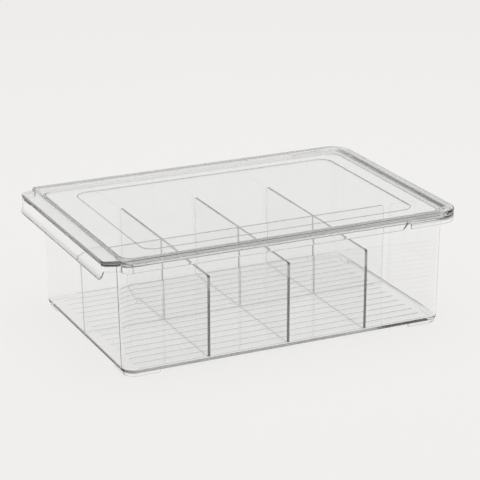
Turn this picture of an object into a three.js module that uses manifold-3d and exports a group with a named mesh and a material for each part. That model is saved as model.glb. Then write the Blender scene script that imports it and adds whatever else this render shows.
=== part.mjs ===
// Clear lidded storage box: a moulded bin with a pull, a lift-off lid with a finger tab, and a
// half-lapped grid of one long and three cross dividers that makes eight compartments.
// Millimetres, +Z up, +X along the box away from the handle end.

import * as THREE from 'three';
import { mergeVertices } from 'three/addons/utils/BufferGeometryUtils.js';
import Module from 'manifold-3d';

// Bin shell, heights measured from the underside of the floor
const baseLength = 303.6;
const baseWidth = 204;
const baseCorner = 12;
const baseFillet = 1.5;
const binHeight = 102.35;
const wallLean = 2;
const wallThickness = 2.2;
const floorThickness = 2.4;
const cavityFillet = 1.5;

// Feet: a ridge round each corner of the base
const footHeight = 3.2;
const footWidth = 2.6;
const footArm = 20;
const footInset = 1.6;

// Low ribs along the floor
const ribPitch = 12;
const ribWidth = 1.4;
const ribHeight = 0.25;
const ribEndGap = 10;

// Flange round the top, measured out from the wall, with its downturned skirt
const flangeSide = 12.5;
const flangePlainEnd = 8.8;
const flangeHandleEnd = 2.7;
const flangeThickness = 2.6;
const plainCorner = 21;
const handleCorner = 7;
const skirtDepth = 4.6;
const skirtThickness = 1.8;
const plainSkirtRun = 30;
const coveWidth = 6;
const coveHeight = 2;

// Pull at the handle end: a skirted shelf out from the flange, with a grip that turns out down its front
const pullReach = 13.6;
const pullInset = 1.5;
const pullTaper = 5;
const pullCorner = 4;
const gripDepth = 7.4;
const gripBend = 7;
const gripFlare = 2.5;
const gripMargin = 2;
const gripTaper = 1.5;
const gripCorner = 3;

// Lid
const lidThickness = 2;
const beadWidth = 4;
const beadHeight = 0.6;
const panelMargin = 31;
const panelCorner = 11;
const panelDrop = 0.8;
const panelStep = 0.4;
const tabOverhang = 0.5;
const skirtLead = 1;
const notchWidth = 4.2;
const notchSlant = 4.3;

// Dividers
const dividerThickness = 2.5;
const dividerTop = 77;
const dividerCorner = 2;
const crossPitch = 75;
const crossCount = 3;

// Clearances
const seatGap = 0.3;
const lidFit = 0.4;
const longHandleGap = 0.5;
const longPlainGap = 3.3;
const crossFrontGap = 0.6;
const crossBackGap = 2.4;
const slotFit = 0.4;

// How far a fused form reaches into the form that carries it
const fuse = 0.4;

const arcSteps = 4;
const gripSteps = 4;
const ribSteps = 2;
const coveSteps = 4;

// Sizes that follow from the ones above
const rimRight = baseLength / 2 + wallLean + flangePlainEnd;
const rimLeft = -(baseLength / 2 + wallLean + flangeHandleEnd);
const rimHalf = baseWidth / 2 + wallLean + flangeSide;
const flangeBottom = binHeight - flangeThickness;
const skirtBottom = flangeBottom - skirtDepth;
const lidBottom = binHeight + seatGap;
const lidTop = lidBottom + lidThickness;
const plainSkirtStart = rimRight - plainCorner - plainSkirtRun;
const lidSkirtRight = plainSkirtStart - notchWidth;
const lidSkirtLeft = rimLeft + handleCorner + skirtLead;
const pullHalf = rimHalf - handleCorner - pullInset;
const pullTip = rimLeft - pullReach;
const dividerBottom = floorThickness + ribHeight + seatGap;
const lapHeight = (dividerBottom + dividerTop) / 2;

const wasm = await Module();
wasm.setup();

// Closed geometry to a solid, and back
function solid(geometry) {
  geometry.deleteAttribute('normal');
  geometry.deleteAttribute('uv');
  const merged = mergeVertices(geometry);
  return new wasm.Manifold(new wasm.Mesh({
    numProp: 3,
    vertProperties: new Float32Array(merged.attributes.position.array),
    triVerts: new Uint32Array(merged.index.array),
  }));
}

function geometryOf(body) {
  const mesh = body.getMesh();
  const geometry = new THREE.BufferGeometry();
  geometry.setAttribute('position', new THREE.BufferAttribute(mesh.vertProperties, 3));
  geometry.setIndex(new THREE.BufferAttribute(mesh.triVerts, 1));
  geometry.computeVertexNormals();
  return geometry;
}

function joined(bodies) {
  return bodies.reduce((sum, body) => sum.add(body));
}

// Rounded rectangle whose two ends may have different corner radii
function outline(left, right, half, leftCorner, rightCorner) {
  const shape = new THREE.Shape();
  const quarter = Math.PI / 2;
  shape.absarc(right - rightCorner, -half + rightCorner, rightCorner, -quarter, 0);
  shape.absarc(right - rightCorner, half - rightCorner, rightCorner, 0, quarter);
  shape.absarc(left + leftCorner, half - leftCorner, leftCorner, quarter, 2 * quarter);
  shape.absarc(left + leftCorner, -half + leftCorner, leftCorner, 2 * quarter, 3 * quarter);
  shape.closePath();
  return shape;
}

// Outline of the flange and the lid, drawn in by an inset
function rimOutline(inset) {
  return outline(rimLeft + inset, rimRight - inset, rimHalf - inset,
    handleCorner - inset, plainCorner - inset);
}

// Outline of the leaning wall at a height, drawn in by an inset
function wallOutline(height, inset) {
  const out = wallLean * height / binHeight - inset;
  const end = baseLength / 2 + out;
  return outline(-end, end, baseWidth / 2 + out, baseCorner + out, baseCorner + out);
}

function prism(shape, bottom, top) {
  const options = { depth: top - bottom, bevelEnabled: false, curveSegments: arcSteps };
  return solid(new THREE.ExtrudeGeometry(shape, options).translate(0, 0, bottom));
}

// Prism of a profile drawn in X and Z, spread over a width in Y
function acrossY(shape, front, back, steps) {
  const options = { depth: back - front, bevelEnabled: false, curveSegments: steps };
  return new THREE.ExtrudeGeometry(shape, options).rotateX(Math.PI / 2).translate(0, back, 0);
}

// Prism of a profile drawn in Y and Z, spread over a length in X
function alongX(shape, left, right, steps) {
  const options = { depth: right - left, bevelEnabled: false, curveSegments: steps };
  const upright = new THREE.ExtrudeGeometry(shape, options).rotateX(Math.PI / 2);
  return upright.rotateZ(Math.PI / 2).translate(left, 0, 0);
}

function block(left, right, front, back, bottom, top) {
  const box = new THREE.BoxGeometry(right - left, back - front, top - bottom);
  return solid(box.translate((left + right) / 2, (front + back) / 2, (bottom + top) / 2));
}

// Loft through outlines that all have the same number of points
function loft(rings) {
  const position = [];
  const index = [];
  const loops = rings.map((ring) => ring.shape.extractPoints(arcSteps).shape);
  const count = loops[0].length;
  loops.forEach((loop, level) => loop.forEach((p) => position.push(p.x, p.y, rings[level].height)));
  for (let level = 0; level + 1 < loops.length; level += 1) {
    for (let i = 0; i < count; i += 1) {
      const a = level * count + i;
      const b = level * count + (i + 1) % count;
      index.push(a, b, b + count, a, b + count, a + count);
    }
  }
  const last = (loops.length - 1) * count;
  THREE.ShapeUtils.triangulateShape(loops[0], []).forEach(([a, b, c]) => {
    index.push(a, c, b);
    index.push(last + a, last + b, last + c);
  });
  const geometry = new THREE.BufferGeometry();
  geometry.setAttribute('position', new THREE.Float32BufferAttribute(position, 3));
  geometry.setIndex(index);
  return solid(geometry);
}

// Rings of a leaning wall that starts with a rounded lower edge
function wallRings(bottom, top, fillet, inset) {
  const rings = [0, Math.PI / 4, Math.PI / 2].map((angle) => {
    const height = bottom + fillet * (1 - Math.cos(angle));
    return { height, shape: wallOutline(height, inset + fillet * (1 - Math.sin(angle))) };
  });
  rings.push({ height: top, shape: wallOutline(top, inset) });
  return rings;
}

// Band round one end of the rim, open towards the middle of the box
function endBand(open, end, corner, thickness) {
  const plain = end > open;
  const centre = plain ? end - corner : end + corner;
  const inner = corner - thickness;
  const quarter = Math.PI / 2;
  const shape = new THREE.Shape();
  shape.moveTo(open, -rimHalf);
  shape.absarc(centre, -rimHalf + corner, corner, -quarter, plain ? 0 : -2 * quarter, !plain);
  shape.absarc(centre, rimHalf - corner, corner, plain ? 0 : 2 * quarter, quarter, !plain);
  shape.lineTo(open, rimHalf);
  shape.lineTo(open, rimHalf - thickness);
  shape.absarc(centre, rimHalf - corner, inner, quarter, plain ? 0 : 2 * quarter, plain);
  shape.absarc(centre, -rimHalf + corner, inner, plain ? 0 : -2 * quarter, -quarter, plain);
  shape.lineTo(open, -rimHalf + thickness);
  shape.closePath();
  return shape;
}

// Skirt round the plain end, with a cove between it and the flange
function plainSkirt() {
  const ring = (height, thickness) => (
    { height, shape: endBand(plainSkirtStart, rimRight, plainCorner, thickness) });
  const rings = [ring(skirtBottom, skirtThickness)];
  for (let i = 0; i <= coveSteps; i += 1) {
    const angle = Math.PI / 2 * i / coveSteps;
    rings.push(ring(flangeBottom - coveHeight * (1 - Math.sin(angle)),
      skirtThickness + coveWidth * (1 - Math.cos(angle))));
  }
  rings.push(ring(flangeBottom + fuse, skirtThickness + coveWidth));
  return loft(rings);
}

// Plan of the pull, and of the lid's tab over it: narrower away from the rim, with rounded outer corners
function pullOutline(root, reach, half, corner) {
  const tip = rimLeft - reach;
  const tipHalf = half - pullTaper;
  const side = tipHalf + pullTaper * corner / reach;
  const shape = new THREE.Shape();
  shape.moveTo(root, -half);
  shape.lineTo(root, half);
  shape.lineTo(rimLeft, half);
  shape.lineTo(tip + corner, side);
  shape.quadraticCurveTo(tip, tipHalf, tip, tipHalf - corner);
  shape.lineTo(tip, corner - tipHalf);
  shape.quadraticCurveTo(tip, -tipHalf, tip + corner, -side);
  shape.lineTo(rimLeft, -half);
  shape.closePath();
  return shape;
}

// Grip down the front of the pull: a sheet that turns outwards, with rounded lower corners
function grip() {
  const bottom = skirtBottom - gripDepth;
  const inner = pullTip + skirtThickness;
  const profile = new THREE.Shape();
  profile.moveTo(inner, skirtBottom + fuse);
  profile.lineTo(pullTip, skirtBottom + fuse);
  profile.lineTo(pullTip, bottom + gripBend);
  profile.quadraticCurveTo(pullTip, bottom + gripFlare, pullTip - gripFlare, bottom);
  profile.lineTo(inner - gripFlare, bottom);
  profile.quadraticCurveTo(inner, bottom + gripFlare, inner, bottom + gripBend);
  profile.closePath();
  const topHalf = pullHalf - pullTaper - gripMargin;
  const lowHalf = topHalf - gripTaper;
  const front = new THREE.Shape();
  front.moveTo(-topHalf, skirtBottom + 2 * fuse);
  front.lineTo(-lowHalf, bottom + gripCorner);
  front.quadraticCurveTo(-lowHalf, bottom, gripCorner - lowHalf, bottom);
  front.lineTo(lowHalf - gripCorner, bottom);
  front.quadraticCurveTo(lowHalf, bottom, lowHalf, bottom + gripCorner);
  front.lineTo(topHalf, skirtBottom + 2 * fuse);
  front.closePath();
  const sheet = solid(acrossY(profile, -pullHalf, pullHalf, gripSteps));
  return sheet.intersect(solid(alongX(front, pullTip - 2 * gripFlare, rimLeft, gripSteps)));
}

// Skirt round the handle end and the pull, left open between the pull and the wall
function pull(skirtEnd) {
  const bandPlan = endBand(skirtEnd, rimLeft, handleCorner, skirtThickness);
  const band = prism(bandPlan, skirtBottom, flangeBottom + fuse);
  const root = rimLeft + skirtThickness;
  const shelf = prism(pullOutline(root, pullReach, pullHalf, pullCorner), skirtBottom, binHeight);
  const inside = pullOutline(root + fuse, pullReach - skirtThickness, pullHalf - skirtThickness,
    pullCorner - skirtThickness);
  const hollow = prism(inside, skirtBottom - fuse, flangeBottom);
  return joined([joined([band, shelf]).subtract(hollow), grip()]);
}

// Ridge under each corner of the base
function feet() {
  const ridge = wallOutline(0, footInset);
  ridge.holes.push(wallOutline(0, footInset + footWidth));
  const ring = prism(ridge, -footHeight, fuse);
  const endReach = baseLength / 2 - baseCorner - footArm;
  const sideReach = baseWidth / 2 - baseCorner - footArm;
  const corners = [];
  for (const x of [-1, 1]) {
    for (const y of [-1, 1]) {
      const ends = [x * endReach, x * baseLength / 2];
      const sides = [y * sideReach, y * baseWidth / 2];
      corners.push(block(Math.min(...ends), Math.max(...ends), Math.min(...sides), Math.max(...sides),
        -footHeight - fuse, 2 * fuse));
    }
  }
  return ring.intersect(joined(corners));
}

// Low rounded ribs along the floor
function floorRibs() {
  const innerHalf = baseWidth / 2 - wallThickness;
  const end = baseLength / 2 - wallThickness - ribEndGap;
  const count = 2 * Math.floor((innerHalf - cavityFillet - ribWidth) / ribPitch) + 1;
  const ribs = [];
  for (let i = 0; i < count; i += 1) {
    const y = (i - (count - 1) / 2) * ribPitch;
    const shape = new THREE.Shape();
    shape.moveTo(y - ribWidth / 2, floorThickness - fuse);
    shape.lineTo(y + ribWidth / 2, floorThickness - fuse);
    shape.lineTo(y + ribWidth / 2, floorThickness);
    shape.absellipse(y, floorThickness, ribWidth / 2, ribHeight, 0, Math.PI);
    shape.closePath();
    ribs.push(solid(alongX(shape, -end, end, ribSteps)));
  }
  return joined(ribs);
}

function binBody() {
  const shell = loft(wallRings(0, flangeBottom + fuse, baseFillet, 0));
  const flange = prism(rimOutline(0), flangeBottom, binHeight);
  const recessStart = lidSkirtLeft - lidFit;
  const recessEdge = rimHalf - skirtThickness - lidFit;
  const recesses = [-1, 1].map((side) => {
    const faces = [side * recessEdge, side * (rimHalf + fuse)];
    return block(recessStart, lidSkirtRight + lidFit, Math.min(...faces), Math.max(...faces),
      flangeBottom - fuse, binHeight + fuse);
  });
  const cavity = loft(wallRings(floorThickness, binHeight + fuse, cavityFillet, wallThickness));
  const outside = joined([shell, flange, plainSkirt(), pull(recessStart), feet()]);
  return joined([outside.subtract(joined(recesses)).subtract(cavity), floorRibs()]);
}

// Skirt down one long side of the lid, with a slanted end beside the bin's own skirt
function lidSkirt(side) {
  const shape = new THREE.Shape();
  shape.moveTo(lidSkirtLeft, skirtBottom);
  shape.lineTo(lidSkirtRight - notchSlant, skirtBottom);
  shape.lineTo(lidSkirtRight, flangeBottom);
  shape.lineTo(lidSkirtRight, lidBottom + fuse);
  shape.lineTo(lidSkirtLeft, lidBottom + fuse);
  shape.closePath();
  const faces = [side * (rimHalf - skirtThickness), side * rimHalf];
  return solid(acrossY(shape, Math.min(...faces), Math.max(...faces), arcSteps));
}

function lidBody() {
  const plate = prism(rimOutline(0), lidBottom, lidTop);
  const edge = rimOutline(0);
  edge.holes.push(rimOutline(beadWidth));
  const bead = prism(edge, lidTop - fuse, lidTop + beadHeight);
  const tabPlan = pullOutline(rimLeft + beadWidth, pullReach + tabOverhang, pullHalf, pullCorner);
  const tab = prism(tabPlan, lidBottom, lidTop);
  const panel = (grow) => outline(rimLeft + panelMargin - grow, rimRight - panelMargin + grow,
    rimHalf - panelMargin + grow, panelCorner + grow, panelCorner + grow);
  const pressed = prism(panel(panelStep), lidTop - panelDrop - lidThickness, lidBottom + fuse);
  const recess = prism(panel(0), lidTop - panelDrop, lidTop + fuse);
  return joined([plate, bead, tab, pressed, lidSkirt(-1), lidSkirt(1)]).subtract(recess);
}

// Divider sheet between two leaning walls, with slots up from its lower edge or down from its upper edge
function dividerOutline(baseSpan, startGap, endGap, lowerSlots, upperSlots) {
  const wallAt = (height) => baseSpan / 2 + wallLean * height / binHeight - wallThickness;
  const lowStart = startGap - wallAt(dividerBottom);
  const lowEnd = wallAt(dividerBottom) - endGap;
  const highStart = startGap - wallAt(dividerTop);
  const highEnd = wallAt(dividerTop) - endGap;
  const slotHalf = dividerThickness / 2 + slotFit;
  const shape = new THREE.Shape();
  shape.moveTo(lowStart, dividerBottom);
  lowerSlots.forEach((at) => {
    shape.lineTo(at - slotHalf, dividerBottom);
    shape.lineTo(at - slotHalf, lapHeight + seatGap / 2);
    shape.lineTo(at + slotHalf, lapHeight + seatGap / 2);
    shape.lineTo(at + slotHalf, dividerBottom);
  });
  shape.lineTo(lowEnd, dividerBottom);
  shape.lineTo(highEnd, dividerTop - dividerCorner);
  shape.quadraticCurveTo(highEnd, dividerTop, highEnd - dividerCorner, dividerTop);
  upperSlots.forEach((at) => {
    shape.lineTo(at + slotHalf, dividerTop);
    shape.lineTo(at + slotHalf, lapHeight - seatGap / 2);
    shape.lineTo(at - slotHalf, lapHeight - seatGap / 2);
    shape.lineTo(at - slotHalf, dividerTop);
  });
  shape.lineTo(highStart + dividerCorner, dividerTop);
  shape.quadraticCurveTo(highStart, dividerTop, highStart, dividerTop - dividerCorner);
  shape.closePath();
  return shape;
}

function clearPlastic() {
  return new THREE.MeshStandardMaterial({
    color: 0xeef0ef, roughness: 0.06, metalness: 0, transparent: true, opacity: 0.3,
  });
}

function piece(name, geometry) {
  const mesh = new THREE.Mesh(geometry, clearPlastic());
  mesh.name = name;
  return mesh;
}

const crossPlaces = Array.from({ length: crossCount }, (_, i) => (i - (crossCount - 1) / 2) * crossPitch);
const halfSheet = dividerThickness / 2;

const box = new THREE.Group();
box.name = 'storage_box';
box.add(piece('box_body', geometryOf(binBody())));
box.add(piece('lid', geometryOf(lidBody())));
const longShape = dividerOutline(baseLength, longHandleGap, longPlainGap, crossPlaces, []);
box.add(piece('long_divider', acrossY(longShape, -halfSheet, halfSheet, arcSteps)));
crossPlaces.forEach((x, i) => {
  const shape = dividerOutline(baseWidth, crossFrontGap, crossBackGap, [], [0]);
  box.add(piece(`cross_divider_${i + 1}`, alongX(shape, x - halfSheet, x + halfSheet, arcSteps)));
});

// The origin is under the middle of the whole object, on the surface that the feet stand on
box.position.set(-(rimRight + pullTip - Math.max(gripFlare, tabOverhang)) / 2, 0, footHeight);

const model = new THREE.Group();
model.add(box);
export default model;
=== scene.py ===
"""Looks of a clear storage box: a moulded bin with a pull, a lift-off lid and a grid of dividers."""

import math
from dataclasses import dataclass

import bmesh
import bpy
from mathutils import Matrix, Vector


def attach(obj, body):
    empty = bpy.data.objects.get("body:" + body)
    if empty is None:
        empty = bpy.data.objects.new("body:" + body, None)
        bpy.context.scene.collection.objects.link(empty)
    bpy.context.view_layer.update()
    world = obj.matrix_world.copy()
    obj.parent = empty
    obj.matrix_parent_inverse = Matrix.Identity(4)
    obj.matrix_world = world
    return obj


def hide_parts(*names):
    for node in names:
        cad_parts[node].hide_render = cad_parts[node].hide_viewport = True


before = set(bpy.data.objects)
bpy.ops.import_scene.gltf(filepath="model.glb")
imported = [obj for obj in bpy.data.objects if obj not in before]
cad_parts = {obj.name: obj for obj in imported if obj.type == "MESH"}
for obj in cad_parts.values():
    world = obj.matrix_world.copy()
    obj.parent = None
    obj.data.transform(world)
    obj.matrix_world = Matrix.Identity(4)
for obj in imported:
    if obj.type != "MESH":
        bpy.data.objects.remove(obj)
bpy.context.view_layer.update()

# Metres in a millimetre: shapes are made in millimetres, and turned into metres when they are done
MM = 0.001

# Bin, with heights from the underside of its floor
BASE_LENGTH = 303.6
BASE_WIDTH = 204.0
BASE_CORNER = 12.0
BASE_FILLET = 1.5
BIN_HEIGHT = 102.35
WALL_LEAN = 2.0
WALL_THICKNESS = 2.2
FLOOR_THICKNESS = 2.4
CAVITY_FILLET = 1.5
FOOT_HEIGHT = 3.2
FOOT_WIDTH = 2.6
FOOT_ARM = 20.0
FOOT_INSET = 1.6

# Ribs on the floor inside, drawn lower than the height that the dividers stand clear of
RIB_PITCH = 12.0
RIB_WIDTH = 1.8
RIB_HEIGHT = 0.25
RIB_SHOWN = 0.14
RIB_END_GAP = 10.0
RIB_COUNT = 17
RIB_TAPER = 3.0

# Flange round the top of the bin, its skirt, and the pull at the handle end
FLANGE_SIDE = 12.5
FLANGE_PLAIN_END = 8.8
FLANGE_HANDLE_END = 2.7
FLANGE_THICKNESS = 2.6
FLANGE_FILLET = 0.8
PLAIN_CORNER = 21.0
HANDLE_CORNER = 7.0
SKIRT_DEPTH = 4.6
SKIRT_THICKNESS = 1.8
PLAIN_SKIRT_RUN = 30.0
COVE_WIDTH = 6.0
COVE_HEIGHT = 2.0
PULL_REACH = 13.6
PULL_INSET = 1.5
PULL_TAPER = 5.0
PULL_CORNER = 4.0
GRIP_DEPTH = 7.4
GRIP_BEND = 7.0
GRIP_FLARE = 2.5
GRIP_MARGIN = 2.0
GRIP_CORNER = 3.0

# Lid: its rim with the skirts and the tab, and the panel pressed into its plate
LID_THICKNESS = 2.0
BEAD_HEIGHT = 0.6
PANEL_MARGIN = 31.0
PANEL_CORNER = 11.0
PANEL_DROP = 0.8
PANEL_STEP = 0.4
TAB_OVERHANG = 0.5
SKIRT_LEAD = 1.0
NOTCH_WIDTH = 4.2
NOTCH_SLANT = 4.3

# Crown of the lid's rim, and the foot of its slope down to the plate, as insets from the rim's outline
# on the long sides, at the handle end and at the plain end
CROWN_START = (5.0, 1.4, 7.0)
CROWN_FOOT = (12.5, 4.6, 12.5)
CROWN_DROP = 0.5

# Sunken plate of the lid, whose lower part hangs between the walls
PLATE_SINK = 1.35
PLATE_THICKNESS = 1.8
PLUG_INSET = 15.4
PLUG_CORNER = 11.0
HANDLE_PLUG = 5.7

# Dividers
DIVIDER_THICKNESS = 2.5
DIVIDER_TOP = 77.0
DIVIDER_CORNER = 2.0
CROSS_PLACES = (-75.0, 0.0, 75.0)

# Clearances
SEAT_GAP = 0.3
LID_FIT = 0.4
LONG_HANDLE_GAP = 0.5
LONG_PLAIN_GAP = 3.3
CROSS_FRONT_GAP = 0.6
CROSS_BACK_GAP = 2.4
SLOT_FIT = 0.4

# Radii of the edges: most edges, the bead by the tab, the lid's rim, the pull, the panel and cut sheet
EDGE = 0.5
BEAD_EDGE = 0.28
RIM_ROUND = 0.5
PULL_ROUND = 1.8
STEP_EDGE = 0.35
CUT_EDGE = 0.2

# How finely curves are drawn, which corners stay sharp, and how near points are joined
ROUND_STEPS = 3
RIM_STEPS = 6
SLOPE_STEPS = 10
ARC_STEPS = 12
FACE_STEPS = 5
CHEEK_STEPS = 4
CURVE_STEPS = 8
RIB_STEPS = 4
CUT_STEPS = 2
ROUND_PROFILE = 0.5
SHARP_ANGLE = math.radians(40)
JOIN_GAP = 0.001

# Sizes that follow from the ones above
RIM_RIGHT = BASE_LENGTH / 2 + WALL_LEAN + FLANGE_PLAIN_END
RIM_LEFT = -(BASE_LENGTH / 2 + WALL_LEAN + FLANGE_HANDLE_END)
RIM_HALF = BASE_WIDTH / 2 + WALL_LEAN + FLANGE_SIDE
FLANGE_BOTTOM = BIN_HEIGHT - FLANGE_THICKNESS
SKIRT_BOTTOM = FLANGE_BOTTOM - SKIRT_DEPTH
LID_BOTTOM = BIN_HEIGHT + SEAT_GAP
LID_TOP = LID_BOTTOM + LID_THICKNESS
BEAD_TOP = LID_TOP + BEAD_HEIGHT
PLATE_TOP = LID_TOP - PLATE_SINK
PLATE_FALL = BEAD_TOP - PLATE_TOP
PLATE_BOTTOM = PLATE_TOP - PLATE_THICKNESS
PLAIN_SKIRT_START = RIM_RIGHT - PLAIN_CORNER - PLAIN_SKIRT_RUN
LID_SKIRT_RIGHT = PLAIN_SKIRT_START - NOTCH_WIDTH
LID_SKIRT_LEFT = RIM_LEFT + HANDLE_CORNER + SKIRT_LEAD
RECESS_START = LID_SKIRT_LEFT - LID_FIT
RECESS_END = LID_SKIRT_RIGHT + LID_FIT
RECESS_DEPTH = SKIRT_THICKNESS + LID_FIT
FOOT_LONG_REACH = BASE_LENGTH / 2 - BASE_CORNER - FOOT_ARM
FOOT_SHORT_REACH = BASE_WIDTH / 2 - BASE_CORNER - FOOT_ARM
PULL_HALF = RIM_HALF - HANDLE_CORNER - PULL_INSET
GRIP_HALF = PULL_HALF - PULL_TAPER - GRIP_MARGIN
DIVIDER_BOTTOM = FLOOR_THICKNESS + RIB_HEIGHT + SEAT_GAP
LAP_HEIGHT = (DIVIDER_BOTTOM + DIVIDER_TOP) / 2
COVE_ANGLES = [math.pi / 2 * k / RIM_STEPS for k in range(RIM_STEPS + 1)]
ORIGIN = Vector((-(RIM_RIGHT + RIM_LEFT - PULL_REACH - GRIP_FLARE) / 2, 0, FOOT_HEIGHT))

# Way round the box, anticlockwise from above: corners with their signs and first angle, and sides
CORNERS = {
    "front_right": (1, -1, -90),
    "back_right": (1, 1, 0),
    "back_left": (-1, 1, 90),
    "front_left": (-1, -1, 180),
}
WAY_ROUND = ("front_right", "right", "back_right", "back", "back_left", "left", "front_left", "front")
HEADING = {"right": 1, "back": -1, "left": -1, "front": 1}

# Clear plastic: its colour, how its gloss and surface vary, and how it dims light inside it
PLASTIC_TINT = (0.985, 0.99, 0.988, 1)
PLASTIC_IOR = 1.53
POLISHED = 0.0
MOULDED_DULL = 0.006
SHEET_DULL = 0.008
SMEAR_SCALE = 35
SMEAR_DETAIL = 3
SMEAR_LOW, SMEAR_HIGH = 0.35, 0.7
RIPPLE_SCALE = 14
RIPPLE_DETAIL = 1
RIPPLE_STRENGTH = 0.01
SHADOW_TINT = (0.93, 0.935, 0.93, 1)
DEPTH_TINT = (0.5, 0.52, 0.51, 1)
BIN_DENSITY = 4.5
LID_DENSITY = 10.0
SHEET_DENSITY = 18.0

# Floor, in metres: mostly an even glow for the rays that see it, and paint that takes the shadow
PALE = (0.885, 0.868, 0.86, 1)
FLOOR_PAINT = (0.86, 0.85, 0.84, 1)
FLOOR_GLOW = 0.85
FLOOR_SIDE = 16.0
CAMERA_RAYS = ("Is Camera Ray",)
SEEING_RAYS = ("Is Camera Ray", "Is Glossy Ray", "Is Transmission Ray")

# Surround that the plastic shows, as pairs of height and brightness: behind the box a dim wall with
# a bright band, before it an even light, above it a bright ceiling
BACK_LIGHT = (
    (0.0, 0.1), (0.19, 0.15), (0.24, 0.76), (0.36, 0.76),
    (0.46, 0.2), (0.66, 0.15), (0.76, 0.9), (1.0, 0.9),
)
FRONT_LIGHT = ((0.0, 0.02), (0.03, 0.55), (0.7, 0.55), (0.8, 0.9), (1.0, 0.9))
BACKWARD = (0.75, 0.66, 0.0)
TURN_START, TURN_END = -0.25, 0.15

# Lamp above the box, in metres and watts
LAMP_PLACE = (0.2, 0.1, 1.6)
LAMP_SIZE = (1.4, 1.0)
LAMP_POWER = 12

# Camera at the photograph's view, in metres, degrees and pixels
IMAGE_SIDE = 480
FOCAL_PIXELS = 1936.18
SENSOR_WIDTH = 36
CAMERA_PLACE = (-0.68253, -1.50158, 0.63720)
CAMERA_TURN = -24.625
CAMERA_DIP = 18.977
CAMERA_ROLL = -0.44

# Light runs a long way inside clear sheets before it leaves at their edges
LIGHT_BOUNCES = 64


@dataclass
class Station:
    """A place on the way round, and what is there. A corner's place is an angle, a side's a coordinate.

    pull counts the points of the pull's or the tab's plan, and grip is a share of the grip's depth.
    """

    side: str
    at: float
    pull: int = -1
    skirt: bool = True
    recess: bool = False
    foot: bool = True
    grip: float = 0.0
    cove: bool = False


def spot(s, left, right, half, left_corner, right_corner):
    """Point of a rounded rectangle at a station."""
    if s.side in CORNERS:
        x_sign, y_sign, _ = CORNERS[s.side]
        radius = right_corner if x_sign > 0 else left_corner
        x = right - radius if x_sign > 0 else left + radius
        y = y_sign * (half - radius)
        return x + radius * math.cos(s.at), y + radius * math.sin(s.at)
    if s.side in ("front", "back"):
        x = min(max(s.at, left + left_corner), right - right_corner)
        return x, -half if s.side == "front" else half
    corner = right_corner if s.side == "right" else left_corner
    y = min(max(s.at, corner - half), half - corner)
    return right if s.side == "right" else left, y


def crown_spot(s, inset, handle_inset, plain_inset):
    """Point of the rim's outline moved in, by amounts of their own at the two ends."""
    return spot(s, RIM_LEFT + handle_inset, RIM_RIGHT - plain_inset, RIM_HALF - inset,
                max(HANDLE_CORNER - inset, EDGE), PLAIN_CORNER - inset)


def rim_spot(s, inset):
    """Point of the rim's outline moved in evenly."""
    return crown_spot(s, inset, inset, inset)


def plug_spot(s, inset):
    """Point of the outline of the lid's part that hangs between the walls."""
    return spot(s, RIM_LEFT + HANDLE_PLUG + inset, RIM_RIGHT - PLUG_INSET - inset,
                RIM_HALF - PLUG_INSET - inset, PLUG_CORNER - inset, PLAIN_CORNER - PLUG_INSET - inset)


def base_spot(s, out):
    """Point of the outline of the bin's base moved out."""
    end = BASE_LENGTH / 2 + out
    return spot(s, -end, end, BASE_WIDTH / 2 + out, BASE_CORNER + out, BASE_CORNER + out)


def panel_spot(s, grow):
    """Point of the outline of the lid's panel moved out."""
    return spot(s, RIM_LEFT + PANEL_MARGIN - grow, RIM_RIGHT - PANEL_MARGIN + grow,
                RIM_HALF - PANEL_MARGIN + grow, PANEL_CORNER + grow, PANEL_CORNER + grow)


def crown_drop(s):
    """How far the rim's outer edge lies below its crown, nought at the two ends."""
    if s.side in CORNERS:
        return CROWN_DROP * math.sin(s.at) ** 2
    return CROWN_DROP if s.side in ("front", "back") else 0.0


def pull_plan(reach):
    """Plan of the pull or the tab, from its back root round its tip to its front root."""
    tip = RIM_LEFT - reach
    tip_half = PULL_HALF - PULL_TAPER
    root = Vector((RIM_LEFT, PULL_HALF))
    bend = Vector((tip + PULL_CORNER, tip_half + PULL_TAPER * PULL_CORNER / reach))
    back = [root.lerp(bend, k / CHEEK_STEPS) for k in range(CHEEK_STEPS)]
    corner = Vector((tip, tip_half))
    end = Vector((tip, tip_half - PULL_CORNER))
    for k in range(CURVE_STEPS + 1):
        t = k / CURVE_STEPS
        back.append(bend.lerp(corner, t).lerp(corner.lerp(end, t), t))
    back.append(Vector((tip, GRIP_HALF - GRIP_CORNER)))
    back += 2 * [Vector((tip, FOOT_SHORT_REACH))]
    return back + [Vector((p.x, -p.y)) for p in reversed(back)]


def mitres(plan):
    """Direction out of the plan at each of its points, as long as moving both edges by one takes."""
    ends = [Vector((RIM_LEFT, RIM_HALF)), Vector((RIM_LEFT, -RIM_HALF))]
    found = []
    for i, p in enumerate(plan):
        before = next((q for q in reversed(plan[:i]) if q != p), ends[0])
        after = next((q for q in plan[i + 1:] if q != p), ends[1])
        first = (p - before).normalized()
        second = (after - p).normalized()
        first, second = Vector((first.y, -first.x)), Vector((second.y, -second.x))
        found.append((first + second) / (1 + first.dot(second)))
    return found


PULL_PLAN = pull_plan(PULL_REACH)
PULL_OUT = mitres(PULL_PLAN)
TAB_PLAN = pull_plan(PULL_REACH + TAB_OVERHANG)
TAB_OUT = mitres(TAB_PLAN)


def grip_share(y):
    """Share of the grip's depth at a place across the pull, with rounded lower corners."""
    past = abs(y) - (GRIP_HALF - GRIP_CORNER)
    if past <= 0:
        return 1.0
    return math.sqrt(max(0.0, 1 - (past / GRIP_CORNER) ** 2))


def corner_stations(side, **form):
    """Stations round one corner."""
    start = CORNERS[side][2]
    angles = [math.radians(start + 90 * k / ARC_STEPS) for k in range(ARC_STEPS + 1)]
    return [Station(side, angle, **form) for angle in angles]


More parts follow.
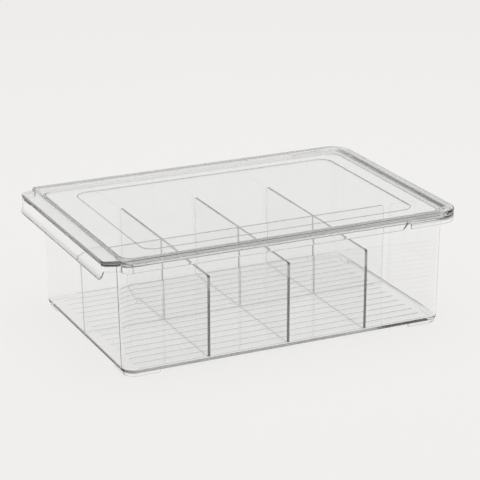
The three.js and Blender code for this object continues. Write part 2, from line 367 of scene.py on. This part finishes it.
def side_stations(side, stops, form):
    """A pair of stations at each stop on a side, with what lies just before and just after it."""
    found = []
    for at in sorted(stops, reverse=HEADING[side] < 0):
        for step in (-HEADING[side], HEADING[side]):
            found.append(Station(side, at, **form(side, at + step * EDGE)))
    return found


def bin_form(side, at):
    """What the bin has at a place on one of its straight sides."""
    if side == "right":
        return {"foot": abs(at) > FOOT_SHORT_REACH, "cove": True}
    return {
        "skirt": at < RECESS_START or at > PLAIN_SKIRT_START,
        "recess": RECESS_START < at < RECESS_END,
        "foot": abs(at) > FOOT_LONG_REACH,
        "cove": at > PLAIN_SKIRT_START,
    }


def bin_stations():
    """Stations round the bin, with the pull in place of its left side."""
    long_stops = (RECESS_START, -FOOT_LONG_REACH, RECESS_END, PLAIN_SKIRT_START, FOOT_LONG_REACH)
    found = []
    for side in WAY_ROUND:
        if side in CORNERS:
            found += corner_stations(side, cove=CORNERS[side][0] > 0)
        elif side == "left":
            last_back = PULL_PLAN.index(Vector((RIM_LEFT - PULL_REACH, FOOT_SHORT_REACH)))
            for i, p in enumerate(PULL_PLAN):
                foot = not last_back < i < len(PULL_PLAN) - 1 - last_back
                found.append(Station(side, p.y, pull=i, foot=foot, grip=grip_share(p.y)))
        else:
            stops = (-FOOT_SHORT_REACH, FOOT_SHORT_REACH) if side == "right" else long_stops
            found += side_stations(side, stops, bin_form)
    return found


def lid_form(_, at):
    """What the lid has at a place on one of its long sides."""
    return {"skirt": LID_SKIRT_LEFT < at < LID_SKIRT_RIGHT}


def lid_stations():
    """Stations round the lid, with the tab in place of its left side."""
    found = []
    for side in WAY_ROUND:
        if side in CORNERS:
            found += corner_stations(side, skirt=False)
        elif side == "left":
            found += [Station(side, p.y, pull=i, skirt=False) for i, p in enumerate(TAB_PLAN)]
        elif side != "right":
            found += side_stations(side, (LID_SKIRT_LEFT, LID_SKIRT_RIGHT), lid_form)
    return found


def rounded(radius, steps=ROUND_STEPS):
    """Quarter round from flat to upright, as pairs of how far in and how far up."""
    angles = [math.pi / 2 * k / steps for k in range(steps + 1)]
    return [(radius * (1 - math.sin(a)), radius * (1 - math.cos(a))) for a in angles]


def hanging_edge(point, ledge, s, bottom, flare):
    """Edge of a flange from its underside to its face, with or without a skirt that hangs from it."""
    shares = [k / FACE_STEPS for k in range(FACE_STEPS + 1)]
    if s.skirt:
        width, height = (COVE_WIDTH, COVE_HEIGHT) if s.cove else (0.0, 0.0)
        cove = [(width * (1 - math.sin(a)), height * (1 - math.cos(a))) for a in COVE_ANGLES]
        points = [point(SKIRT_THICKNESS + i, ledge - u) for i, u in cove]
        down = [ledge - height + (bottom + EDGE - ledge + height) * k for k in shares]
        points += [point(SKIRT_THICKNESS - flare(z), z) for z in down]
        points += [point(SKIRT_THICKNESS - i - flare(bottom + u), bottom + u)
                   for i, u in reversed(rounded(EDGE))]
        points += [point(i - flare(bottom + u), bottom + u) for i, u in rounded(EDGE)]
        return points + [point(-flare(z), z) for z in reversed(down)]
    face = RECESS_DEPTH if s.recess else 0.0
    inner = max(SKIRT_THICKNESS, face + EDGE)
    points = len(COVE_ANGLES) * [point(inner, ledge)]
    points += [point(inner + (face + EDGE - inner) * k, ledge) for k in shares]
    points += (ROUND_STEPS + 1) * [point(face + EDGE, ledge)]
    points += [point(face + i, ledge + u) for i, u in rounded(EDGE)]
    return points + len(shares) * [point(face, ledge + EDGE)]


def bin_section(s):
    """Section of the bin at a station, from its underside round the rim to the floor inside."""
    def base(inset, height):
        return (*base_spot(s, -inset), height)

    def wall(inset, height):
        return (*base_spot(s, WALL_LEAN * height / BIN_HEIGHT - inset), height)

    def rim(inset, height):
        if s.pull < 0:
            return (*rim_spot(s, inset), height)
        return (*(PULL_PLAN[s.pull] - inset * PULL_OUT[s.pull]), height)

    def flare(height):
        if not s.grip:
            return 0.0
        turn = (SKIRT_BOTTOM - GRIP_DEPTH + GRIP_BEND - height) / GRIP_BEND
        return GRIP_FLARE * max(0.0, turn) ** 2

    sole = -FOOT_HEIGHT if s.foot else 0.0
    foot_round = rounded(EDGE if s.foot else 0.0)
    foot_inside = FOOT_INSET + FOOT_WIDTH
    points = [base(foot_inside, 0)]
    points += [base(foot_inside - i, sole + u) for i, u in reversed(foot_round)]
    points += [base(FOOT_INSET + i, sole + u) for i, u in foot_round]
    points += [base(FOOT_INSET, 0)]
    points += [wall(i, u) for i, u in rounded(BASE_FILLET)]
    points += [wall(-u, FLANGE_BOTTOM - i) for i, u in rounded(FLANGE_FILLET)]
    on_long_side = s.side in ("front", "back")
    ledge_end = SKIRT_THICKNESS + (COVE_WIDTH if s.cove else 0.0)
    points += [rim(max(RECESS_DEPTH + EDGE if on_long_side else 0.0, ledge_end), FLANGE_BOTTOM)]
    points += hanging_edge(rim, FLANGE_BOTTOM, s, SKIRT_BOTTOM - s.grip * GRIP_DEPTH, flare)
    face = RECESS_DEPTH if s.recess else 0.0
    top_round = rounded(PULL_ROUND if s.pull >= 0 else EDGE, RIM_STEPS)
    points += [rim(face + i, BIN_HEIGHT - u) for i, u in reversed(top_round)]
    points += [rim(RECESS_DEPTH + EDGE, BIN_HEIGHT)]
    points += [wall(WALL_THICKNESS - i, BIN_HEIGHT - u) for i, u in rounded(EDGE)]
    inside = reversed(rounded(CAVITY_FILLET))
    return points + [wall(WALL_THICKNESS + i, FLOOR_THICKNESS + u) for i, u in inside]


def lid_rim_top(s, brow):
    """Top of the lid's rim, from its outer edge at the height brow over the crown to the plate."""
    points = []
    for k in range(1, SLOPE_STEPS + 1):
        share = k / SLOPE_STEPS
        fall = (BEAD_TOP - brow) * (1 - share) ** 2
        insets = [RIM_ROUND + (start - RIM_ROUND) * share for start in CROWN_START]
        points.append((*crown_spot(s, *insets), BEAD_TOP - fall))
    for k in range(1, SLOPE_STEPS + 1):
        share = k / SLOPE_STEPS
        down = share * share * (3 - 2 * share)
        insets = [start + (end - start) * share for start, end in zip(CROWN_START, CROWN_FOOT)]
        points.append((*crown_spot(s, *insets), BEAD_TOP - PLATE_FALL * down))
    return points


def lid_section(s):
    """Section of the lid at a station, from under its panel round the edge to the panel's top."""
    on_tab = 0 < s.pull < len(TAB_PLAN) - 1
    slanted = s.side == "front" and s.skirt and s.at == LID_SKIRT_RIGHT

    def panel(grow, height):
        return (*panel_spot(s, grow), height)

    def plug(inset, height):
        return (*plug_spot(s, inset), height)

    def bead(inset, height):
        return (*rim_spot(s, inset), height)

    def edge(inset, height):
        if s.pull >= 0:
            return (*(TAB_PLAN[s.pull] - inset * TAB_OUT[s.pull]), height)
        x, y, z = bead(inset, height)
        if slanted:
            x -= NOTCH_SLANT * max(0.0, (FLANGE_BOTTOM - z) / SKIRT_DEPTH)
        return x, y, z

    def flare(_):
        return 0.0

    points = [panel(PANEL_STEP - i, PLATE_BOTTOM - PANEL_DROP + u) for i, u in rounded(STEP_EDGE)]
    points += [panel(PANEL_STEP + u, PLATE_BOTTOM - i) for i, u in rounded(STEP_EDGE)]
    points += [plug(i, PLATE_BOTTOM + u) for i, u in rounded(EDGE)]
    points += [plug(-u, LID_BOTTOM - i) for i, u in rounded(EDGE)]
    points += hanging_edge(edge, LID_BOTTOM, s, SKIRT_BOTTOM, flare)
    brow = BEAD_TOP - crown_drop(s)
    bead_foot = LID_TOP if on_tab else brow - RIM_ROUND
    bead_round = rounded(BEAD_EDGE if on_tab else RIM_ROUND, RIM_STEPS)
    points += [edge(i if on_tab else 0.0, min(bead_foot, LID_TOP - u))
               for i, u in reversed(rounded(EDGE))]
    points += [bead(0.0, bead_foot)]
    points += [bead(i, brow - u) for i, u in reversed(bead_round)]
    points += lid_rim_top(s, brow)
    points += [panel(i, PLATE_TOP - u) for i, u in rounded(STEP_EDGE)]
    points += [panel(-u, PLATE_TOP - PANEL_DROP + i) for i, u in rounded(STEP_EDGE)]
    return points


def close_jump(mesh, this, following):
    """Flat faces between two sections at the same place, where one form changes to another."""
    apart = [a.co != b.co for a, b in zip(this, following)]
    start = 0
    for k in range(1, len(apart)):
        if apart[k] and not apart[k - 1]:
            start = k - 1
        if apart[k - 1] and not apart[k]:
            mesh.faces.new(this[start:k + 1] + following[k - 1:start:-1])


def loft(stations, section):
    """Skin through the sections at all stations, closed below, and the edge of its opening above."""
    mesh = bmesh.new()
    rows = [[mesh.verts.new(Vector(p)) for p in section(s)] for s in stations]
    for i, this in enumerate(rows):
        following = rows[(i + 1) % len(rows)]
        now, then = stations[i], stations[(i + 1) % len(rows)]
        if (now.side, now.at) == (then.side, then.at):
            close_jump(mesh, this, following)
            continue
        for a, b, c, d in zip(this, following, following[1:], this[1:]):
            mesh.faces.new((a, b, c, d))
    mesh.faces.new([row[0] for row in rows])
    return mesh, [row[-1] for row in rows]


def merge(mesh):
    """Joins the points that lie on one another."""
    bmesh.ops.remove_doubles(mesh, verts=mesh.verts, dist=JOIN_GAP)


def rib_height(x, y, end):
    """Height of a rib at a place measured from its middle line, low at its ends."""
    across = math.cos(math.pi * y / RIB_WIDTH) ** 2
    along = min(1.0, (end - abs(x)) / RIB_TAPER)
    return RIB_SHOWN * across * math.sin(math.pi / 2 * along) ** 2


def rib_field(mesh):
    """Patch of floor that carries the ribs."""
    end = BASE_LENGTH / 2 - WALL_THICKNESS - RIB_END_GAP
    taper = [end - RIB_TAPER * (1 - k / RIB_STEPS) for k in range(RIB_STEPS + 1)]
    xs = [-x for x in reversed(taper)] + taper
    rows = []
    for rib in range(RIB_COUNT):
        middle = (rib - (RIB_COUNT - 1) / 2) * RIB_PITCH
        for k in range(-RIB_STEPS, RIB_STEPS + 1):
            y = RIB_WIDTH / 2 * k / RIB_STEPS
            heights = [FLOOR_THICKNESS + rib_height(x, y, end) for x in xs]
            rows.append([mesh.verts.new((x, middle + y, z)) for x, z in zip(xs, heights)])
    for this, following in zip(rows, rows[1:]):
        for a, b, c, d in zip(this, this[1:], following[1:], following):
            mesh.faces.new((a, b, c, d))


def finish_mesh(mesh, name):
    """Turns millimetre geometry into an object in the frame, with smooth rounds and crisp corners."""
    bmesh.ops.recalc_face_normals(mesh, faces=mesh.faces)
    for face in mesh.faces:
        face.smooth = True
    for edge in mesh.edges:
        edge.smooth = edge.calc_face_angle(0.0) < SHARP_ANGLE
    bmesh.ops.translate(mesh, verts=mesh.verts, vec=ORIGIN)
    bmesh.ops.scale(mesh, verts=mesh.verts, vec=Vector((MM, MM, MM)))
    data = bpy.data.meshes.new(name)
    mesh.to_mesh(data)
    mesh.free()
    piece = bpy.data.objects.new(name, data)
    bpy.context.scene.collection.objects.link(piece)
    shading = piece.modifiers.new("even_faces", "WEIGHTED_NORMAL")
    shading.keep_sharp = True
    return piece


def make_bin():
    """Bin whose floor inside is filled in round the ribs."""
    mesh, _ = loft(bin_stations(), bin_section)
    merge(mesh)
    rib_field(mesh)
    open_edges = [edge for edge in mesh.edges if edge.is_boundary]
    bmesh.ops.triangle_fill(mesh, use_beauty=True, edges=open_edges)
    return finish_mesh(mesh, "clear_bin")


def make_lid():
    """Lid closed by the top of its panel."""
    mesh, panel_edge = loft(lid_stations(), lid_section)
    mesh.faces.new(panel_edge)
    merge(mesh)
    return finish_mesh(mesh, "clear_cover")


def divider_outline(base_span, start_gap, end_gap, lower_slots, upper_slots):
    """Outline of a divider between two leaning walls, with slots up from below or down from above."""
    def wall_at(height):
        return base_span / 2 + WALL_LEAN * height / BIN_HEIGHT - WALL_THICKNESS

    slot_half = DIVIDER_THICKNESS / 2 + SLOT_FIT
    slot_top, slot_floor = LAP_HEIGHT + SEAT_GAP / 2, LAP_HEIGHT - SEAT_GAP / 2
    points = [(start_gap - wall_at(DIVIDER_BOTTOM), DIVIDER_BOTTOM)]
    for at in lower_slots:
        points += [(at - slot_half, DIVIDER_BOTTOM), (at - slot_half, slot_top)]
        points += [(at + slot_half, slot_top), (at + slot_half, DIVIDER_BOTTOM)]
    points.append((wall_at(DIVIDER_BOTTOM) - end_gap, DIVIDER_BOTTOM))
    start, end = start_gap - wall_at(DIVIDER_TOP), wall_at(DIVIDER_TOP) - end_gap
    turns = [math.pi / 2 * k / CURVE_STEPS for k in range(CURVE_STEPS + 1)]
    radius, low = DIVIDER_CORNER, DIVIDER_TOP - DIVIDER_CORNER
    points += [(end - radius * (1 - math.cos(a)), low + radius * math.sin(a)) for a in turns]
    for at in upper_slots:
        points += [(at + slot_half, DIVIDER_TOP), (at + slot_half, slot_floor)]
        points += [(at - slot_half, slot_floor), (at - slot_half, DIVIDER_TOP)]
    points += [(start + radius * (1 - math.sin(a)), low + radius * math.cos(a)) for a in turns]
    return points


def make_divider(name, outline, place):
    """Sheet of an outline, with slightly eased edges. place puts a point of it on one of its faces."""
    mesh = bmesh.new()
    faces = []
    for side in (-1, 1):
        verts = [mesh.verts.new(place(a, z, side * DIVIDER_THICKNESS / 2)) for a, z in outline]
        mesh.faces.new(verts)
        faces.append(verts)
    for k in range(len(outline)):
        following = (k + 1) % len(outline)
        mesh.faces.new((faces[0][k], faces[0][following], faces[1][following], faces[1][k]))
    bmesh.ops.recalc_face_normals(mesh, faces=mesh.faces)
    corners = [edge for edge in mesh.edges if edge.calc_face_angle(0.0) > SHARP_ANGLE]
    bmesh.ops.bevel(mesh, geom=corners, offset=CUT_EDGE, segments=CUT_STEPS, profile=ROUND_PROFILE,
                    affect="EDGES")
    return finish_mesh(mesh, name)


def make_long_sheet():
    """Divider along the box, with slots up from below."""
    def place(along, height, face):
        return along, face, height

    outline = divider_outline(BASE_LENGTH, LONG_HANDLE_GAP, LONG_PLAIN_GAP, CROSS_PLACES, ())
    return make_divider("long_sheet", outline, place)


def make_cross_sheet(number, middle):
    """Divider across the box, with one slot down from above."""
    def place(along, height, face):
        return middle + face, along, height

    outline = divider_outline(BASE_WIDTH, CROSS_FRONT_GAP, CROSS_BACK_GAP, (), (0.0,))
    return make_divider(f"cross_sheet_{number}", outline, place)


def empty_tree(owner):
    """Nodes and links of a material or a world, with nothing in them."""
    owner.use_nodes = True
    owner.node_tree.nodes.clear()
    return owner.node_tree.nodes, owner.node_tree.links


def shader_mix(nodes, links, share, first, second):
    """Shader that goes from the first to the second one with the share."""
    mix = nodes.new("ShaderNodeMixShader")
    for value, socket in zip((share, first, second), mix.inputs):
        links.new(value, socket)
    return mix.outputs["Shader"]


def noise(nodes, links, scale, detail):
    """Soft noise in the object's own space."""
    place = nodes.new("ShaderNodeTexCoord")
    texture = nodes.new("ShaderNodeTexNoise")
    texture.inputs["Scale"].default_value = scale
    texture.inputs["Detail"].default_value = detail
    links.new(place.outputs["Object"], texture.inputs["Vector"])
    return texture.outputs["Fac"]


def uneven_gloss(nodes, links, dull):
    """Roughness that drifts between polished and slightly dull."""
    gloss = nodes.new("ShaderNodeMapRange")
    gloss.inputs["From Min"].default_value = SMEAR_LOW
    gloss.inputs["From Max"].default_value = SMEAR_HIGH
    gloss.inputs["To Min"].default_value = POLISHED
    gloss.inputs["To Max"].default_value = dull
    links.new(noise(nodes, links, SMEAR_SCALE, SMEAR_DETAIL), gloss.inputs["Value"])
    return gloss.outputs["Result"]


def faint_ripple(nodes, links):
    """Normal of a surface that isn't quite even."""
    bump = nodes.new("ShaderNodeBump")
    bump.inputs["Strength"].default_value = RIPPLE_STRENGTH
    bump.inputs["Distance"].default_value = MM
    links.new(noise(nodes, links, RIPPLE_SCALE, RIPPLE_DETAIL), bump.inputs["Height"])
    return bump.outputs["Normal"]


def clear_plastic(name, dull, density):
    """Clear plastic with a slightly uneven gloss and surface, which darkens with depth."""
    material = bpy.data.materials.new(name)
    nodes, links = empty_tree(material)
    shader = nodes.new("ShaderNodeBsdfPrincipled")
    shader.inputs["Base Color"].default_value = PLASTIC_TINT
    shader.inputs["IOR"].default_value = PLASTIC_IOR
    shader.inputs["Transmission Weight"].default_value = 1
    links.new(uneven_gloss(nodes, links, dull), shader.inputs["Roughness"])
    links.new(faint_ripple(nodes, links), shader.inputs["Normal"])
    shade = nodes.new("ShaderNodeBsdfTransparent")
    shade.inputs["Color"].default_value = SHADOW_TINT
    shadow_ray = nodes.new("ShaderNodeLightPath").outputs["Is Shadow Ray"]
    surface = shader_mix(nodes, links, shadow_ray, shader.outputs["BSDF"], shade.outputs["BSDF"])
    depth = nodes.new("ShaderNodeVolumeAbsorption")
    depth.inputs["Color"].default_value = DEPTH_TINT
    depth.inputs["Density"].default_value = density
    output = nodes.new("ShaderNodeOutputMaterial")
    links.new(surface, output.inputs["Surface"])
    links.new(depth.outputs["Volume"], output.inputs["Volume"])
    return material


def dress(piece, material, body, node):
    """Gives a piece its material, hides the model's part that it stands in for, and puts it under the
    body it moves with.
    """
    piece.data.materials.append(material)
    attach(piece, body)
    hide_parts(node)


def ray_share(nodes, links, names):
    """Value that is one for a ray of any of the named kinds, and nought for others."""
    rays = nodes.new("ShaderNodeLightPath")
    value = rays.outputs[names[0]]
    for name in names[1:]:
        either = nodes.new("ShaderNodeMath")
        either.operation = "MAXIMUM"
        links.new(value, either.inputs[0])
        links.new(rays.outputs[name], either.inputs[1])
        value = either.outputs["Value"]
    return value


def floor_material():
    """Pale floor that looks the same to the camera and through the plastic."""
    material = bpy.data.materials.new("pale_floor")
    nodes, links = empty_tree(material)
    paint = nodes.new("ShaderNodeBsdfDiffuse")
    paint.inputs["Color"].default_value = FLOOR_PAINT
    glow = nodes.new("ShaderNodeEmission")
    glow.inputs["Color"].default_value = PALE
    share = nodes.new("ShaderNodeMath")
    share.operation = "MULTIPLY"
    share.inputs[1].default_value = FLOOR_GLOW
    links.new(ray_share(nodes, links, SEEING_RAYS), share.inputs[0])
    surface = shader_mix(nodes, links, share.outputs["Value"],
                         paint.outputs["BSDF"], glow.outputs["Emission"])
    output = nodes.new("ShaderNodeOutputMaterial")
    links.new(surface, output.inputs["Surface"])
    return material


def make_floor():
    """Wide floor under the box, which isn't part of the object."""
    bpy.ops.mesh.primitive_plane_add(size=FLOOR_SIDE)
    floor = bpy.context.object
    floor.name = "floor"
    floor.data.materials.append(floor_material())


def brightness_ramp(nodes, links, height, stops):
    """Grey that follows the height through the stops, of which the first and last are at its ends."""
    ramp = nodes.new("ShaderNodeValToRGB")
    marks = ramp.color_ramp.elements
    for at, _ in stops[1:-1]:
        marks.new(at)
    for mark, (at, level) in zip(marks, stops):
        mark.position = at
        mark.color = (level, level, level, 1)
    links.new(height, ramp.inputs["Fac"])
    return ramp.outputs["Color"]


def colour_mix(nodes, links, share):
    """Sockets of a node that goes from a first to a second colour with the share, and its result."""
    mix = nodes.new("ShaderNodeMix")
    mix.data_type = "RGBA"
    links.new(share, mix.inputs["Factor"])
    first, second = [socket for socket in mix.inputs if socket.type == "RGBA"]
    result, = [socket for socket in mix.outputs if socket.type == "RGBA"]
    return first, second, result


def studio_zones(nodes, links):
    """Brightness of the surround in each direction, going smoothly from its front to its back."""
    direction = nodes.new("ShaderNodeTexCoord").outputs["Generated"]
    split = nodes.new("ShaderNodeSeparateXYZ")
    links.new(direction, split.inputs["Vector"])
    facing = nodes.new("ShaderNodeVectorMath")
    facing.operation = "DOT_PRODUCT"
    facing.inputs[1].default_value = BACKWARD
    links.new(direction, facing.inputs[0])
    turn = nodes.new("ShaderNodeMapRange")
    turn.interpolation_type = "SMOOTHSTEP"
    turn.inputs["From Min"].default_value = TURN_START
    turn.inputs["From Max"].default_value = TURN_END
    links.new(facing.outputs["Value"], turn.inputs["Value"])
    front, back, around = colour_mix(nodes, links, turn.outputs["Result"])
    links.new(brightness_ramp(nodes, links, split.outputs["Z"], FRONT_LIGHT), front)
    links.new(brightness_ramp(nodes, links, split.outputs["Z"], BACK_LIGHT), back)
    return around


def studio_world():
    """Surround whose dark and light zones show in the plastic, while the camera sees a pale colour."""
    world = bpy.data.worlds.new("studio")
    nodes, links = empty_tree(world)
    zones, seen, colour = colour_mix(nodes, links, ray_share(nodes, links, CAMERA_RAYS))
    links.new(studio_zones(nodes, links), zones)
    seen.default_value = PALE
    background = nodes.new("ShaderNodeBackground")
    links.new(colour, background.inputs["Color"])
    output = nodes.new("ShaderNodeOutputWorld")
    links.new(background.outputs["Background"], output.inputs["Surface"])
    return world


def make_lamp():
    """Soft lamp above the box, which isn't mirrored in the plastic."""
    light = bpy.data.lights.new("overhead", "AREA")
    light.shape = "RECTANGLE"
    light.size, light.size_y = LAMP_SIZE
    light.energy = LAMP_POWER
    lamp = bpy.data.objects.new("overhead", light)
    lamp.location = LAMP_PLACE
    lamp.rotation_euler = (-Vector(LAMP_PLACE)).to_track_quat("-Z", "Y").to_euler()
    lamp.visible_glossy = False
    lamp.visible_transmission = False
    bpy.context.scene.collection.objects.link(lamp)


def make_camera():
    """Camera at the photograph's view."""
    camera = bpy.data.objects.new("camera", bpy.data.cameras.new("camera"))
    camera.data.sensor_width = SENSOR_WIDTH
    camera.data.lens = FOCAL_PIXELS / IMAGE_SIDE * SENSOR_WIDTH
    camera.matrix_world = (
        Matrix.Translation(CAMERA_PLACE)
        @ Matrix.Rotation(math.radians(CAMERA_TURN), 4, "Z")
        @ Matrix.Rotation(math.radians(90 - CAMERA_DIP), 4, "X")
        @ Matrix.Rotation(math.radians(CAMERA_ROLL), 4, "Z")
    )
    bpy.context.scene.collection.objects.link(camera)
    return camera


bin_plastic = clear_plastic("bin_plastic", MOULDED_DULL, BIN_DENSITY)
lid_plastic = clear_plastic("lid_plastic", MOULDED_DULL, LID_DENSITY)
sheet_plastic = clear_plastic("sheet_plastic", SHEET_DULL, SHEET_DENSITY)

dress(make_bin(), bin_plastic, "box", "box_body")
dress(make_lid(), lid_plastic, "lid", "lid")
dress(make_long_sheet(), sheet_plastic, "long_divider", "long_divider")
for number, middle in enumerate(CROSS_PLACES, 1):
    divider = f"cross_divider_{number}"
    dress(make_cross_sheet(number, middle), sheet_plastic, divider, divider)

make_floor()
make_lamp()
scene = bpy.context.scene
scene.world = studio_world()
scene.camera = make_camera()
scene.cycles.max_bounces = LIGHT_BOUNCES
scene.cycles.transmission_bounces = LIGHT_BOUNCES
scene.cycles.glossy_bounces = LIGHT_BOUNCES
scene.view_settings.view_transform = "Standard"
